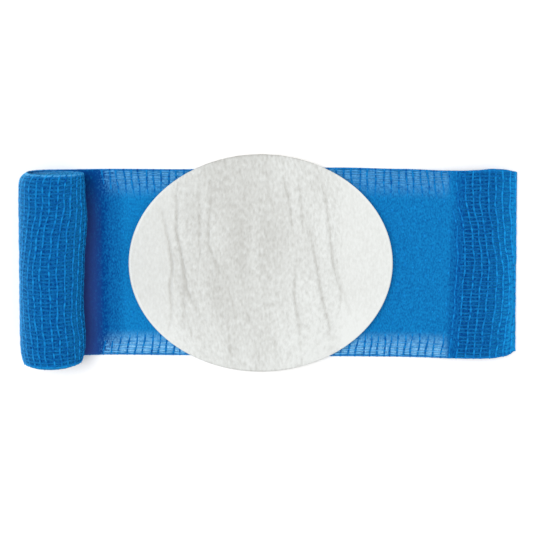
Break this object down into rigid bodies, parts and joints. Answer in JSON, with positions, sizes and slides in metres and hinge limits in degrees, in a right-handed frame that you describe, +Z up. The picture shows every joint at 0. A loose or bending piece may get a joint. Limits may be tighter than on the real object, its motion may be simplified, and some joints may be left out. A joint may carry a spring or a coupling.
{
  "type": "eye pad bandage",
  "caption": "Woven blue bandage with one end wound into a small roll and the other turned under, carrying an oval white eye pad on its middle",
  "frame": {"origin": "on the floor that the bandage lies on, below the middle of its outer box", "axes": "+X along the band from the wound end to the turned-under end, +Y across the band, +Z up from the floor to the pad's face"},
  "size_m": [0.1298, 0.0578, 0.0172],
  "materials": {
    "band": "open blue cotton weave with raised cross ribs, matte",
    "core": "cream absorbent wadding, matte",
    "face": "white crinkled crepe, matte"
  },
  "bodies": {
    "root": {"bandage": "band", "pad_core": "core", "pad_face": "face"}
  },
  "joints": []
}
